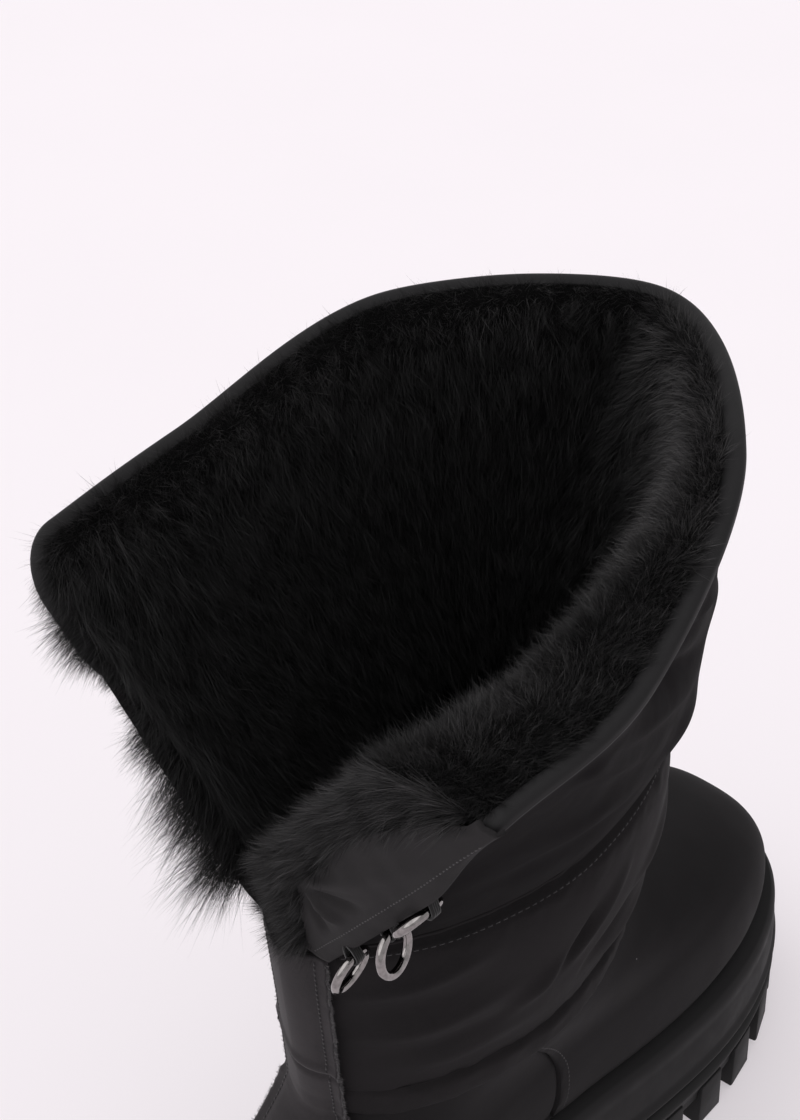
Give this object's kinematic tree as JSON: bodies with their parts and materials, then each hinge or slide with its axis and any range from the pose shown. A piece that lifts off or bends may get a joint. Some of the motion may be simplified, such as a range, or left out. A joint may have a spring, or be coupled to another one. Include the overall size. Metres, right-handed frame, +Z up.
{
  "type": "winter boot",
  "caption": "Fur-lined winter boot with a quilted shaft open at the back, wire lacing rings on the slit's edges, a smooth foot and a thick platform sole with side lugs.",
  "frame": {"origin": "on the floor plane under the heel, in the middle of the flat heel lug", "axes": "+X from the heel towards the toe, +Y to the boot's left, +Z up"},
  "size_m": [0.2652, 0.1498, 0.3233],
  "materials": {
    "tread_rubber": "matte black rubber, faintly grained",
    "platform": "smooth satin black moulding",
    "felt": "dull black felt",
    "nubuck": "matte black nubuck with a short nap",
    "quilted_fabric": "matte black padded fabric, wrinkled",
    "binding_fabric": "smooth matte black band",
    "fur": "deep black pile with a soft sheen",
    "facing_fabric": "matte black woven fabric, wrinkled",
    "ring_metal": "polished dark nickel",
    "webbing": "matte black tape"
  },
  "bodies": {
    "root": {"outsole": "tread_rubber", "midsole": "platform", "insole": "felt", "upper": "nubuck", "shaft": "quilted_fabric", "collar_binding": "binding_fabric", "fur_lining": "fur", "facing_right": "facing_fabric", "backstay": "nubuck", "ring_right_1": "ring_metal", "ring_right_2": "ring_metal", "ring_right_3": "ring_metal", "ring_left_1": "ring_metal", "ring_left_2": "ring_metal", "ring_left_3": "ring_metal", "tab_right_1": "webbing", "tab_right_2": "webbing", "tab_right_3": "webbing", "tab_left_1": "webbing", "tab_left_2": "webbing", "tab_left_3": "webbing"}
  },
  "joints": []
}
